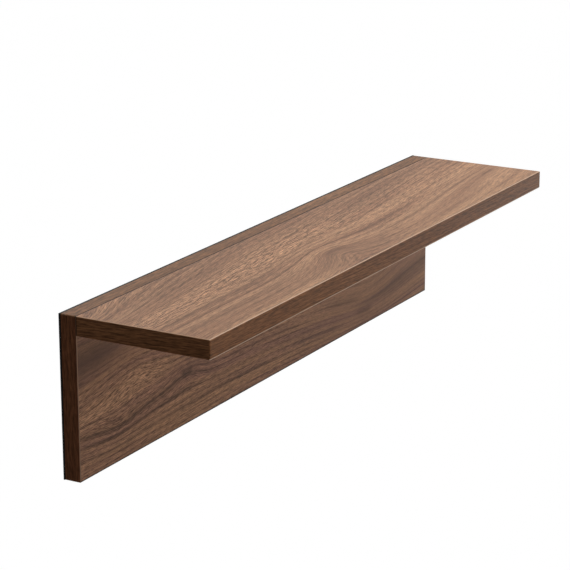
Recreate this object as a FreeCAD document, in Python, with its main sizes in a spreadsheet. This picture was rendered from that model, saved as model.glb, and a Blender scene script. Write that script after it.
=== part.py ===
import FreeCAD
import Part
import math
import os
import Sketcher

# Floating wall shelf: a veneered shelf board butted against the front of an upright back panel. Hook clips in
# a pocket behind the panel drop over a Z-shaped rail on the wall.
# Millimetres. +X runs along the wall, +Y points into the wall and +Z is up. The origin is on the wall plane,
# at the middle of the rail's row of screw holes.

SIZES = {
    # Overall
    "overall_length": 600.0,
    "shelf_reach": 120.0,
    "shelf_thickness": 16.0,
    "panel_height": 136.0,
    "panel_thickness": 16.0,
    # Layers of the two boards
    "veneer_thickness": 0.6,
    "band_thickness": 1.0,
    "backer_thickness": 1.4,
    "arris_radius": 0.8,
    "arris_limit_share": 0.9,
    # Corner joint between the shelf board and the panel
    "joint_end_margin": 45.0,
    "joint_screw_count": 4,
    "joint_screw_length": 50.0,
    "joint_screw_diameter": 7.0,
    "joint_screw_head_flare": 1.5,
    "joint_screw_sink": 0.5,
    "joint_screw_point": 5.0,
    "joint_socket_flats": 4.0,
    "joint_socket_depth": 3.0,
    "dowel_diameter": 8.0,
    "dowel_length": 30.0,
    "dowel_back_wall": 4.1,
    "dowel_chamfer": 1.0,
    "dowel_flute_count": 12,
    "dowel_flute_diameter": 0.8,
    "bore_clearance": 0.05,
    "bore_end_gap": 0.5,
    # Wall rail
    "metal_thickness": 2.0,
    "metal_chamfer": 0.5,
    "metal_chamfer_limit_share": 0.3,
    "countersink_land": 0.5,
    "rail_end_margin": 60.0,
    "rail_flange_height": 20.0,
    "rail_lip_height": 13.0,
    "rail_hole_count": 4,
    "rail_hole_margin": 30.0,
    "rail_hole_diameter": 5.0,
    # Hook clips
    "hook_clearance": 0.3,
    "clip_end_margin": 20.0,
    "clip_width": 80.0,
    "clip_flange_height": 20.0,
    "clip_lip_room": 2.0,
    "clip_corner_radius": 4.0,
    "clip_screw_margin": 15.0,
    "clip_screw_diameter": 3.5,
    "clip_screw_cover": 3.1,
    "clip_screw_point": 2.5,
    "clip_socket_flats": 2.0,
    "clip_socket_depth": 1.2,
    # Pocket behind the panel
    "lift_margin": 1.0,
    "pocket_low_room": 2.0,
    "pocket_high_room": 1.0,
    "pocket_corner_radius": 6.0,
    "pocket_to_joint": 12.0,
}

# Sizes and places that follow from the ones above. A name ending in front or rear is a distance in front of
# the wall plane, and one ending in top, bottom, middle, seat or height is a height above the origin.
PLACES = {
    # Rail
    "rail_length": "sizes.overall_length - 2 * sizes.rail_end_margin",
    "rail_top": "sizes.rail_flange_height / 2",
    "rail_bottom": "-sizes.rail_flange_height / 2",
    "rail_web_bottom": "rail_top - sizes.metal_thickness",
    "rail_lip_rear": "sizes.metal_thickness + 2 * sizes.hook_clearance",
    "rail_lip_front": "rail_lip_rear + sizes.metal_thickness",
    "rail_seat": "rail_web_bottom + sizes.rail_lip_height",
    "rail_hole_first": "sizes.rail_hole_margin - rail_length / 2",
    "rail_hole_pitch": "-2 * rail_hole_first / (sizes.rail_hole_count - 1)",
    "metal_chamfer": "min(sizes.metal_chamfer; sizes.metal_thickness * sizes.metal_chamfer_limit_share)",
    "countersink_flare": "sizes.metal_thickness - sizes.countersink_land",
    "rail_hole_sink": "sizes.rail_hole_diameter + 2 * countersink_flare",
    # Clips
    "clip_lip_rear": "sizes.hook_clearance",
    "clip_lip_front": "clip_lip_rear + sizes.metal_thickness",
    "clip_lip_bottom": "rail_top + sizes.clip_lip_room",
    "clip_flange_rear": "rail_lip_rear + sizes.hook_clearance",
    "clip_flange_front": "clip_flange_rear + sizes.metal_thickness",
    "clip_web_top": "rail_seat + sizes.metal_thickness",
    "clip_top": "clip_web_top + sizes.clip_flange_height",
    "clip_pitch": "rail_length / 2 - sizes.clip_end_margin - sizes.clip_width / 2",
    "clip_screw_pitch": "sizes.clip_width - 2 * sizes.clip_screw_margin",
    "clip_screw_height": "clip_web_top + sizes.clip_flange_height / 2",
    "clip_screw_head": "sizes.clip_screw_diameter + 2 * countersink_flare",
    "clip_screw_bore": "sizes.clip_screw_diameter + 2 * sizes.bore_clearance",
    "clip_head_bore": "clip_screw_head + 2 * sizes.bore_clearance",
    "clip_screw_length": "sizes.panel_thickness - sizes.clip_screw_cover - clip_flange_rear",
    "clip_screw_in_core": "clip_flange_rear + clip_screw_length - sizes.backer_thickness",
    # Pocket
    "lift_travel": "rail_seat - clip_lip_bottom + sizes.lift_margin",
    "pocket_half_length": "rail_length / 2 + sizes.pocket_corner_radius",
    "pocket_bottom": "rail_bottom - lift_travel - sizes.pocket_low_room",
    "pocket_top": "clip_top + sizes.pocket_high_room",
    "pocket_in_core": "clip_flange_front - sizes.backer_thickness",
    # Boards
    "half_length": "sizes.overall_length / 2",
    "inner_half_length": "half_length - sizes.band_thickness",
    "arris": "min(sizes.arris_radius; sizes.band_thickness * sizes.arris_limit_share)",
    "shelf_middle": "pocket_top + sizes.pocket_to_joint",
    "shelf_top": "shelf_middle + sizes.shelf_thickness / 2",
    "shelf_bottom": "shelf_middle - sizes.shelf_thickness / 2",
    "shelf_core_top": "shelf_top - sizes.veneer_thickness",
    "shelf_core_bottom": "shelf_bottom + sizes.veneer_thickness",
    "shelf_core_reach": "sizes.shelf_reach - sizes.band_thickness",
    "shelf_core_front": "sizes.panel_thickness + shelf_core_reach",
    "panel_bottom": "shelf_top - sizes.panel_height",
    "panel_core_top": "shelf_top - sizes.band_thickness",
    "panel_core_bottom": "panel_bottom + sizes.band_thickness",
    "panel_core_front": "sizes.panel_thickness - sizes.veneer_thickness",
    "panel_core_thickness": "panel_core_front - sizes.backer_thickness",
    # Corner joint
    "joint_first": "sizes.joint_end_margin - half_length",
    "joint_span": "-2 * joint_first",
    "joint_pitch": "joint_span / (sizes.joint_screw_count - 1)",
    "joint_screw_head": "sizes.joint_screw_diameter + 2 * sizes.joint_screw_head_flare",
    "joint_screw_bore": "sizes.joint_screw_diameter + 2 * sizes.bore_clearance",
    "joint_head_bore": "joint_screw_head + 2 * sizes.bore_clearance",
    "joint_head_rim": "sizes.backer_thickness - sizes.joint_screw_sink",
    "joint_screw_in_shelf": "sizes.joint_screw_sink + sizes.joint_screw_length - sizes.panel_thickness",
    "dowel_first": "joint_first + joint_pitch / 2",
    "dowel_count": "sizes.joint_screw_count - 1",
    "dowel_span": "joint_span - joint_pitch",
    "dowel_bore": "sizes.dowel_diameter + 2 * sizes.bore_clearance",
    "dowel_rear": "sizes.backer_thickness + sizes.dowel_back_wall + sizes.bore_end_gap",
    "dowel_in_core": "panel_core_front - dowel_rear",
    "dowel_in_shelf": "dowel_rear + sizes.dowel_length - sizes.panel_thickness",
}

CLIP_STEPS = {"left": -1, "middle": 0, "right": 1}
SCREW_SIDES = (-1, 1)
SOCKET_SIDES = 6
COUNTERSINK_ANGLE = 90
FULL_TURN = 360
ROOT_POINT = (-1, 1)
START, END, CENTRE = 1, 2, 3
SAME_PLACE = 1e-6

doc = FreeCAD.newDocument("floating_wall_shelf")
sub_parts = []


def fill_sheet(name, cells):
    """A sheet with one named value to a row."""
    sheet = doc.addObject("Spreadsheet::Sheet", name)
    for row, (alias, content) in enumerate(cells, 1):
        sheet.set(f"A{row}", alias)
        sheet.set(f"B{row}", content)
        sheet.setAlias(f"B{row}", alias)
    doc.recompute()
    return sheet


sizes = fill_sheet("sizes", [(alias, str(number)) for alias, number in SIZES.items()])
places = fill_sheet("places", [(alias, f"={formula}") for alias, formula in PLACES.items()])


def number_of(expression):
    """What an expression on the two sheets is worth now."""
    return float(sizes.evalExpression(expression))


def same(value, expression):
    """Whether a coordinate is at the place that an expression gives."""
    return abs(value - number_of(expression)) < SAME_PLACE


def new_body(label, **place):
    """A body with a label of its own, placed by expressions for x, y and z."""
    body = doc.addObject("PartDesign::Body", label)
    body.Label = label
    for axis, expression in place.items():
        body.setExpression(f"Placement.Base.{axis}", expression)
    sub_parts.append(body)
    return body


def origin_feature(body, role):
    """One of the planes or axes of a body's own origin."""
    return next(item for item in body.Origin.OriginFeatures if item.Role == role)


def new_sketch(body, name, plane, offset=None):
    """A sketch on one of the body's planes, or moved along that plane's normal by an expression."""
    sketch = body.newObject("Sketcher::SketchObject", f"{body.Name}_{name}")
    sketch.AttachmentSupport = (origin_feature(body, plane), [""])
    sketch.MapMode = "FlatFace"
    if offset:
        sketch.setExpression("AttachmentOffset.Base.z", offset)
    return sketch


def bind(sketch, kind, name, expression, *ends):
    """A named dimension of a sketch that an expression drives."""
    index = sketch.addConstraint(Sketcher.Constraint(kind, *ends, number_of(expression)))
    sketch.renameConstraint(index, name)
    sketch.setExpression(f"Constraints.{name}", expression)


def draw_outline(sketch, corners):
    """A closed outline of straight lines whose corners are pairs of expressions."""
    points = [FreeCAD.Vector(number_of(across), number_of(up), 0) for across, up in corners]
    for point, following in zip(points, points[1:] + points[:1]):
        sketch.addGeometry(Part.LineSegment(point, following))
    for side, (across, up) in enumerate(corners):
        following = (side + 1) % len(corners)
        sketch.addConstraint(Sketcher.Constraint("Coincident", side, END, following, START))
        bind(sketch, "DistanceX", f"across_{side}", across, *ROOT_POINT, side, START)
        bind(sketch, "DistanceY", f"up_{side}", up, *ROOT_POINT, side, START)


def draw_rectangle(sketch, left, right, low, high):
    """A rectangle between four expressions."""
    draw_outline(sketch, [(left, low), (right, low), (right, high), (left, high)])


def draw_circles(sketch, diameter, centres):
    """Circles of one diameter whose centres are pairs of expressions."""
    normal = FreeCAD.Vector(0, 0, 1)
    for across, up in centres:
        middle = FreeCAD.Vector(number_of(across), number_of(up), 0)
        index = sketch.addGeometry(Part.Circle(middle, normal, number_of(diameter) / 2))
        bind(sketch, "Diameter", f"diameter_{index}", diameter, index)
        bind(sketch, "DistanceX", f"across_{index}", across, *ROOT_POINT, index, CENTRE)
        bind(sketch, "DistanceY", f"up_{index}", up, *ROOT_POINT, index, CENTRE)


def pad(body, sketch, length, side_type="One side"):
    """Material along the sketch's normal."""
    feature = body.newObject("PartDesign::Pad", f"{sketch.Name}_pad")
    feature.Profile = sketch
    feature.SideType = side_type
    feature.setExpression("Length", length)
    doc.recompute()
    return feature


def revolve(body, sketch):
    """A full turn of a profile about the sketch's vertical axis."""
    feature = body.newObject("PartDesign::Revolution", f"{sketch.Name}_turned")
    feature.Profile = sketch
    feature.ReferenceAxis = (sketch, ["V_Axis"])
    feature.Angle = FULL_TURN
    doc.recompute()
    return feature


def must_cut(body, feature, volume_before):
    """A cut that points away from its solid removes nothing and says nothing, so it is looked for here."""
    if body.Shape.Volume >= volume_before:
        raise RuntimeError(f"{feature.Name} cuts nothing")


def pocket(body, sketch, depth, forward=True):
    """A cut from the sketch's plane, away from the wall or towards it."""
    volume_before = body.Shape.Volume
    feature = body.newObject("PartDesign::Pocket", f"{sketch.Name}_pocket")
    feature.Profile = sketch
    feature.Reversed = forward
    feature.setExpression("Length", depth)
    doc.recompute()
    must_cut(body, feature, volume_before)
    return feature


def countersunk_holes(body, sketch, diameter, head_diameter, forward):
    """Through holes at a sketch's circles, with countersinks at the sketch's plane."""
    volume_before = body.Shape.Volume
    feature = body.newObject("PartDesign::Hole", f"{sketch.Name}_drilled")
    feature.Profile = sketch
    doc.recompute()
    feature.DepthType = "ThroughAll"
    feature.Reversed = forward
    feature.HoleCutType = "Countersink"
    feature.HoleCutCountersinkAngle = COUNTERSINK_ANGLE
    feature.setExpression("Diameter", diameter)
    feature.setExpression("HoleCutDiameter", head_diameter)
    doc.recompute()
    must_cut(body, feature, volume_before)
    return feature


def dress_edges(body, base, kind, size, chosen):
    """A fillet or chamfer on the edges of a feature whose middle point passes the test called chosen."""
    middles = [edge.BoundBox.Center for edge in base.Shape.Edges]
    names = [f"Edge{index}" for index, middle in enumerate(middles, 1) if chosen(middle)]
    feature = body.newObject(f"PartDesign::{kind}", f"{base.Name}_{kind.lower()}")
    feature.Base = (base, names)
    feature.setExpression("Radius" if kind == "Fillet" else "Size", size)
    doc.recompute()
    return feature


def repeat_row(body, length, count, length_between=None, count_between=None):
    """Copies of the whole body along X, in one spacing or in two."""
    row = body.newObject("PartDesign::LinearPattern", f"{body.Name}_row")
    row.TransformMode = "Whole shape"
    row.Direction = (origin_feature(body, "X_Axis"), [""])
    row.setExpression("Length", length)
    row.setExpression("Occurrences", count)
    if length_between:
        row.Direction2 = (origin_feature(body, "X_Axis"), [""])
        row.setExpression("Length2", length_between)
        row.setExpression("Occurrences2", count_between)
    body.Tip = row
    doc.recompute()


def row_centres(first, pitch, count, height):
    """Centres of a row along X, as pairs of expressions."""
    return [(f"{first} + {step} * {pitch}", height) for step in range(round(number_of(count)))]


def joint_screw_centres():
    """Where the joint screws pass, seen from the front."""
    count = "sizes.joint_screw_count"
    return row_centres("places.joint_first", "places.joint_pitch", count, "places.shelf_middle")


def dowel_centres():
    """Where the dowels lie, seen from the front: midway between the joint screws."""
    count = "places.dowel_count"
    return row_centres("places.dowel_first", "places.joint_pitch", count, "places.shelf_middle")


def clip_screw_centres():
    """Where the clips' screws enter the panel, seen from the front."""
    return [
        (f"{step} * places.clip_pitch + {side} * places.clip_screw_pitch / 2", "places.clip_screw_height")
        for step in CLIP_STEPS.values()
        for side in SCREW_SIDES
    ]


def rail_pocket(body, depth):
    """The routed pocket that the rail and the clips lie in, with the router's round corners."""
    sketch = new_sketch(body, "rail_pocket", "XZ_Plane")
    end, low, high = "places.pocket_half_length", "places.pocket_bottom", "places.pocket_top"
    draw_rectangle(sketch, f"-{end}", end, low, high)
    cut = pocket(body, sketch, depth)

    def is_corner(middle):
        return same(abs(middle.x), end) and (same(middle.z, low) or same(middle.z, high))

    dress_edges(body, cut, "Fillet", "sizes.pocket_corner_radius", is_corner)


# Shelf board


def make_shelf_core():
    """The board's core, with bores for the joint screws and dowels in its rear edge."""
    body = new_body("shelf_core", y="-sizes.panel_thickness")
    outline = new_sketch(body, "outline", "XZ_Plane")
    end = "places.inner_half_length"
    draw_rectangle(outline, f"-{end}", end, "places.shelf_core_bottom", "places.shelf_core_top")
    pad(body, outline, "places.shelf_core_reach")
    screw_bores = new_sketch(body, "screw_bores", "XZ_Plane")
    draw_circles(screw_bores, "places.joint_screw_bore", joint_screw_centres())
    pocket(body, screw_bores, "places.joint_screw_in_shelf + sizes.bore_end_gap")
    dowel_bores = new_sketch(body, "dowel_bores", "XZ_Plane")
    draw_circles(dowel_bores, "places.dowel_bore", dowel_centres())
    pocket(body, dowel_bores, "places.dowel_in_shelf + sizes.bore_end_gap")


def make_shelf_veneer(label, bottom):
    """A veneer sheet on the shelf's core, above or below."""
    sheet = doc.addObject("Part::Box", label)
    sheet.Label = label
    sheet.setExpression("Length", "2 * places.inner_half_length")
    sheet.setExpression("Width", "places.shelf_core_reach")
    sheet.setExpression("Height", "sizes.veneer_thickness")
    sheet.setExpression("Placement.Base.x", "-places.inner_half_length")
    sheet.setExpression("Placement.Base.y", "-places.shelf_core_front")
    sheet.setExpression("Placement.Base.z", bottom)
    sub_parts.append(sheet)


def make_shelf_front_band():
    """The long band on the front edge, which covers the ends of the two short ones."""
    body = new_body("shelf_front_edge_band", y="-places.shelf_core_front")
    outline = new_sketch(body, "outline", "XZ_Plane")
    end = "places.half_length"
    draw_rectangle(outline, f"-{end}", end, "places.shelf_bottom", "places.shelf_top")
    strip = pad(body, outline, "sizes.band_thickness")
    dress_edges(body, strip, "Fillet", "places.arris", lambda middle: middle.y < -SAME_PLACE)


def make_shelf_end_band(label, left, outer_face):
    """A short band on one end of the shelf board."""
    body = new_body(label, x=left)
    outline = new_sketch(body, "outline", "YZ_Plane")
    front, rear = "-places.shelf_core_front", "-sizes.panel_thickness"
    low, high = "places.shelf_bottom", "places.shelf_top"
    draw_rectangle(outline, front, rear, low, high)
    strip = pad(body, outline, "sizes.band_thickness")

    def is_arris(middle):
        return same(middle.x, outer_face) and (same(middle.z, low) or same(middle.z, high))

    dress_edges(body, strip, "Fillet", "places.arris", is_arris)


# Back panel


def make_panel_core():
    """The panel's core: the rail's pocket, holes for both kinds of screw, and dowel bores in its front."""
    body = new_body("panel_core", y="-sizes.backer_thickness")
    outline = new_sketch(body, "outline", "XZ_Plane")
    end = "places.inner_half_length"
    draw_rectangle(outline, f"-{end}", end, "places.panel_core_bottom", "places.panel_core_top")
    pad(body, outline, "places.panel_core_thickness")
    rail_pocket(body, "places.pocket_in_core")
    screw_holes = new_sketch(body, "screw_holes", "XZ_Plane")
    draw_circles(screw_holes, "places.joint_screw_bore", joint_screw_centres())
    countersunk_holes(body, screw_holes, "places.joint_screw_bore", "places.joint_head_bore", forward=True)
    clip_bores = new_sketch(body, "clip_bores", "XZ_Plane")
    draw_circles(clip_bores, "places.clip_screw_bore", clip_screw_centres())
    pocket(body, clip_bores, "places.clip_screw_in_core + sizes.bore_end_gap")
    dowel_bores = new_sketch(body, "dowel_bores", "XZ_Plane", offset="places.panel_core_thickness")
    draw_circles(dowel_bores, "places.dowel_bore", dowel_centres())
    pocket(body, dowel_bores, "places.dowel_in_core + sizes.bore_end_gap", forward=False)


def make_panel_front_veneer():
    """The veneer on the panel's front, with holes where the screws and dowels pass into the shelf board."""
    body = new_body("panel_front_veneer", y="-places.panel_core_front")
    outline = new_sketch(body, "outline", "XZ_Plane")
    end = "places.inner_half_length"
    draw_rectangle(outline, f"-{end}", end, "places.panel_core_bottom", "places.panel_core_top")
    pad(body, outline, "sizes.veneer_thickness")
    screw_holes = new_sketch(body, "screw_holes", "XZ_Plane")
    draw_circles(screw_holes, "places.joint_screw_bore", joint_screw_centres())
    pocket(body, screw_holes, "sizes.veneer_thickness")
    dowel_holes = new_sketch(body, "dowel_holes", "XZ_Plane")
    draw_circles(dowel_holes, "places.dowel_bore", dowel_centres())
    pocket(body, dowel_holes, "sizes.veneer_thickness")


def make_panel_rear_backer():
    """The thin sheet on the panel's rear, out to the faces of the bands, cut away over the pocket."""
    body = new_body("panel_rear_backer")
    outline = new_sketch(body, "outline", "XZ_Plane")
    end = "places.half_length"
    draw_rectangle(outline, f"-{end}", end, "places.panel_bottom", "places.shelf_top")
    pad(body, outline, "sizes.backer_thickness")
    rail_pocket(body, "sizes.backer_thickness")
    head_holes = new_sketch(body, "head_holes", "XZ_Plane")
    draw_circles(head_holes, "places.joint_head_bore", joint_screw_centres())
    pocket(body, head_holes, "sizes.backer_thickness")


def make_panel_long_band(label, bottom, outer_face):
    """The band along the panel's top or bottom edge, which covers the ends of the two upright ones."""
    body = new_body(label, z=bottom)
    outline = new_sketch(body, "outline", "XY_Plane")
    end, front, rear = "places.half_length", "-sizes.panel_thickness", "-sizes.backer_thickness"
    draw_rectangle(outline, f"-{end}", end, front, rear)
    strip = pad(body, outline, "sizes.band_thickness")

    def is_arris(middle):
        at_front, at_end = same(middle.y, front), same(abs(middle.x), end)
        return same(middle.z, outer_face) and (at_front or at_end) or at_front and at_end

    dress_edges(body, strip, "Fillet", "places.arris", is_arris)


def make_panel_end_band(label, left, outer_face):
    """The upright band on one end of the panel."""
    body = new_body(label, x=left)
    outline = new_sketch(body, "outline", "YZ_Plane")
    front, rear = "-sizes.panel_thickness", "-sizes.backer_thickness"
    draw_rectangle(outline, front, rear, "places.panel_core_bottom", "places.panel_core_top")
    strip = pad(body, outline, "sizes.band_thickness")

    def is_arris(middle):
        return same(middle.x, outer_face) and same(middle.y, front)

    dress_edges(body, strip, "Fillet", "places.arris", is_arris)


# Fasteners of the corner joint and of the clips


def make_screw(label, x, y, z, half_outline, flats, socket_depth):
    """A screw that points away from the wall, turned from half of its outline and given a hex socket."""
    body = new_body(label, x=x, y=y, z=z)
    profile = new_sketch(body, "half_outline", "XY_Plane")
    draw_outline(profile, half_outline)
    revolve(body, profile)
    corners = []
    for corner in range(SOCKET_SIDES):
        turn = 2 * math.pi * corner / SOCKET_SIDES
        across_share, up_share = math.cos(turn) / math.sqrt(3), math.sin(turn) / math.sqrt(3)
        corners.append((f"{across_share:f} * {flats}", f"{up_share:f} * {flats}"))
    socket = new_sketch(body, "socket", "XZ_Plane")
    draw_outline(socket, corners)
    pocket(body, socket, socket_depth)
    return body


def make_joint_screws():
    """Wood-joint screws with a countersunk head, through the panel and into the shelf board."""
    head, shank = "places.joint_screw_head / 2", "sizes.joint_screw_diameter / 2"
    rim, flare, length = "places.joint_head_rim", "sizes.joint_screw_head_flare", "sizes.joint_screw_length"
    half_outline = [
        ("0", "0"),
        (head, "0"),
        (head, f"-{rim}"),
        (shank, f"-{rim} - {flare}"),
        (shank, f"sizes.joint_screw_point - {length}"),
        ("0", f"-{length}"),
    ]
    x, y, z = "places.joint_first", "-sizes.joint_screw_sink", "places.shelf_middle"
    flats, depth = "sizes.joint_socket_flats", "sizes.joint_socket_depth"
    body = make_screw("joint_screws", x, y, z, half_outline, flats, depth)
    repeat_row(body, "places.joint_span", "sizes.joint_screw_count")


def make_clip_screws():
    """Countersunk screws that hold the hook clips, two to a clip."""
    head, shank = "places.clip_screw_head / 2", "sizes.clip_screw_diameter / 2"
    flare, length = "places.countersink_flare", "places.clip_screw_length"
    half_outline = [
        ("0", "0"),
        (head, "0"),
        (shank, f"-{flare}"),
        (shank, f"sizes.clip_screw_point - {length}"),
        ("0", f"-{length}"),
    ]
    x = "-places.clip_pitch - places.clip_screw_pitch / 2"
    y, z = "-places.clip_flange_rear", "places.clip_screw_height"
    flats, depth = "sizes.clip_socket_flats", "sizes.clip_socket_depth"
    body = make_screw("hook_clip_screws", x, y, z, half_outline, flats, depth)
    clip_count, screws_to_a_clip = len(CLIP_STEPS), len(SCREW_SIDES)
    clip_span = f"{clip_count - 1} * places.clip_pitch"
    repeat_row(body, clip_span, str(clip_count), "places.clip_screw_pitch", str(screws_to_a_clip))


def make_joint_dowels():
    """Fluted dowels, chamfered at both ends, part in the panel and part in the shelf board."""
    body = new_body("joint_dowels", x="places.dowel_first", y="-places.dowel_rear", z="places.shelf_middle")
    radius, chamfer, length = "sizes.dowel_diameter / 2", "sizes.dowel_chamfer", "sizes.dowel_length"
    profile = new_sketch(body, "half_outline", "XY_Plane")
    half_outline = [
        ("0", "0"),
        (f"{radius} - {chamfer}", "0"),
        (radius, f"-{chamfer}"),
        (radius, f"{chamfer} - {length}"),
        (f"{radius} - {chamfer}", f"-{length}"),
        ("0", f"-{length}"),
    ]
    draw_outline(profile, half_outline)
    revolve(body, profile)
    flute = new_sketch(body, "flute", "XZ_Plane")
    draw_circles(flute, "sizes.dowel_flute_diameter", [(radius, "0")])
    groove = pocket(body, flute, length)
    flutes = body.newObject("PartDesign::PolarPattern", "joint_dowels_flutes")
    flutes.Originals = [groove]
    flutes.Axis = (origin_feature(body, "Y_Axis"), [""])
    flutes.Angle = FULL_TURN
    flutes.setExpression("Occurrences", "sizes.dowel_flute_count")
    body.Tip = flutes
    doc.recompute()
    repeat_row(body, "places.dowel_span", "places.dowel_count")


# Hanging fittings


def make_wall_rail():
    """The Z-shaped rail on the wall: a flange with countersunk holes, a web, and a lip clear of the wall."""
    body = new_body("wall_rail")
    profile = new_sketch(body, "profile", "YZ_Plane")
    flange_front, lip_rear = "-sizes.metal_thickness", "-places.rail_lip_rear"
    lip_front, seat = "-places.rail_lip_front", "places.rail_seat"
    corners = [
        ("0", "places.rail_bottom"),
        ("0", "places.rail_top"),
        (lip_rear, "places.rail_top"),
        (lip_rear, seat),
        (lip_front, seat),
        (lip_front, "places.rail_web_bottom"),
        (flange_front, "places.rail_web_bottom"),
        (flange_front, "places.rail_bottom"),
    ]
    draw_outline(profile, corners)
    bar = pad(body, profile, "places.rail_length", "Symmetric")

    def is_lip_edge(middle):
        return same(middle.z, seat) and same(middle.x, "0")

    dress_edges(body, bar, "Chamfer", "places.metal_chamfer", is_lip_edge)
    holes = new_sketch(body, "holes", "XZ_Plane", offset="sizes.metal_thickness")
    first, pitch, count = "places.rail_hole_first", "places.rail_hole_pitch", "sizes.rail_hole_count"
    draw_circles(holes, "sizes.rail_hole_diameter", row_centres(first, pitch, count, "0"))
    countersunk_holes(body, holes, "sizes.rail_hole_diameter", "places.rail_hole_sink", forward=False)


def make_hook_clip(side, step):
    """A clip in the panel's pocket: a flange on the pocket's floor, a web, and a lip behind the rail's."""
    body = new_body(f"hook_clip_{side}", x=f"{step} * places.clip_pitch")
    profile = new_sketch(body, "profile", "YZ_Plane")
    lip_rear, lip_front = "-places.clip_lip_rear", "-places.clip_lip_front"
    flange_rear, flange_front = "-places.clip_flange_rear", "-places.clip_flange_front"
    corners = [
        (flange_front, "places.rail_seat"),
        (lip_front, "places.rail_seat"),
        (lip_front, "places.clip_lip_bottom"),
        (lip_rear, "places.clip_lip_bottom"),
        (lip_rear, "places.clip_web_top"),
        (flange_rear, "places.clip_web_top"),
        (flange_rear, "places.clip_top"),
        (flange_front, "places.clip_top"),
    ]
    draw_outline(profile, corners)
    bar = pad(body, profile, "sizes.clip_width", "Symmetric")

    def is_lip_edge(middle):
        return same(middle.z, "places.clip_lip_bottom") and same(middle.x, "0")

    def is_flange_corner(middle):
        return same(middle.z, "places.clip_top") and same(abs(middle.x), "sizes.clip_width / 2")

    eased = dress_edges(body, bar, "Chamfer", "places.metal_chamfer", is_lip_edge)
    dress_edges(body, eased, "Fillet", "sizes.clip_corner_radius", is_flange_corner)
    holes = new_sketch(body, "holes", "XZ_Plane", offset="places.clip_flange_rear")
    centres = [(f"{end} * places.clip_screw_pitch / 2", "places.clip_screw_height") for end in SCREW_SIDES]
    draw_circles(holes, "places.clip_screw_bore", centres)
    countersunk_holes(body, holes, "places.clip_screw_bore", "places.clip_head_bore", forward=True)


def check_model():
    """Every object of the document has to be whole before anything is written."""
    doc.recompute()
    for item in doc.Objects:
        if "Invalid" in item.State or "Error" in item.State:
            raise RuntimeError(f"{item.Name} failed: {item.State}")
    for part in sub_parts:
        if part.Shape.isNull() or not part.Shape.isValid():
            raise RuntimeError(f"{part.Label} has no valid shape")


def write_parts():
    """One file for each sub-part, named by its label."""
    os.makedirs("parts", exist_ok=True)
    for part in sub_parts:
        part.Shape.exportStep(f"parts/{part.Label}.step")
        print(f"{part.Label}: {len(part.Shape.Solids)} solids, {part.Shape.Volume:.1f} mm3")


def main():
    left_end, right_inside = "-places.half_length", "places.inner_half_length"
    band_outside = "sizes.band_thickness"
    make_shelf_core()
    make_shelf_veneer("shelf_top_veneer", "places.shelf_core_top")
    make_shelf_veneer("shelf_bottom_veneer", "places.shelf_bottom")
    make_shelf_front_band()
    make_shelf_end_band("shelf_left_edge_band", left_end, "0")
    make_shelf_end_band("shelf_right_edge_band", right_inside, band_outside)
    make_panel_core()
    make_panel_front_veneer()
    make_panel_rear_backer()
    make_panel_long_band("panel_top_edge_band", "places.panel_core_top", band_outside)
    make_panel_long_band("panel_bottom_edge_band", "places.panel_bottom", "0")
    make_panel_end_band("panel_left_edge_band", left_end, "0")
    make_panel_end_band("panel_right_edge_band", right_inside, band_outside)
    make_joint_screws()
    make_joint_dowels()
    make_wall_rail()
    for side, step in CLIP_STEPS.items():
        make_hook_clip(side, step)
    make_clip_screws()
    check_model()
    write_parts()


main()
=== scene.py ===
import collections
import functools
import math

import bmesh
import bpy
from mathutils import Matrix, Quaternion, Vector


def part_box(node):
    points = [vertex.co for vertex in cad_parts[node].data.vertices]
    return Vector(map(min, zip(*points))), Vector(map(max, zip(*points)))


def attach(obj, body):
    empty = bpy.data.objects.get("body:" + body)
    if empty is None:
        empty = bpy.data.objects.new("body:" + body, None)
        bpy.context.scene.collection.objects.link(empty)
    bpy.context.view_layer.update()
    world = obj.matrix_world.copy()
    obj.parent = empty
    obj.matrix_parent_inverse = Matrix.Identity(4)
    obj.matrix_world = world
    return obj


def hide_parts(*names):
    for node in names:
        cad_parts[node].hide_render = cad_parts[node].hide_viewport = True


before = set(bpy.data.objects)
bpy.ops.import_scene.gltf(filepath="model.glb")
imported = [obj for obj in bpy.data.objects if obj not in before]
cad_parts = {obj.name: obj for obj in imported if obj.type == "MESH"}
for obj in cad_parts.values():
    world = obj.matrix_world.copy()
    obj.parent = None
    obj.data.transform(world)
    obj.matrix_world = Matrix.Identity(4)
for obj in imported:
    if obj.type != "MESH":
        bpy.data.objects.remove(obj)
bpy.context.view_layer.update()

bl_info = {
    "name": "Floating wall shelf",
    "version": (1, 0, 0),
    "blender": (4, 5, 0),
    "location": "View3D > Sidebar > Shelf",
    "description": "Finishes for a floating wall shelf's boards and fittings, and a studio to see it in",
    "category": "Object",
}


def screen(red, green, blue):
    """A colour as a screen shows it, from 0 to 255, in the linear values that shaders use."""

    def linear(share):
        if share < 0.04045:
            return share / 12.92
        return ((share + 0.055) / 1.055) ** 2.4

    return tuple(linear(channel / 255) for channel in (red, green, blue))


def colour_property(name, description, *screen_values):
    """A colour that a user can change, given by the way it looks on a screen."""
    return bpy.props.FloatVectorProperty(
        name=name,
        description=description,
        default=screen(*screen_values),
        size=3,
        min=0.0,
        max=1.0,
        subtype="COLOR",
    )


def number_property(name, description, default, **kind):
    """A number that a user can change."""
    return bpy.props.FloatProperty(name=name, description=description, default=default, **kind)


length_property = functools.partial(number_property, min=0.0, precision=5, unit="LENGTH")
share_property = functools.partial(number_property, min=0.0, max=1.0, subtype="FACTOR")
power_property = functools.partial(number_property, min=0.0, unit="POWER")


def angle_property(name, description, degrees):
    """An angle that a user can change, given in degrees."""
    return number_property(name, description, math.radians(degrees), subtype="ANGLE")


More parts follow.
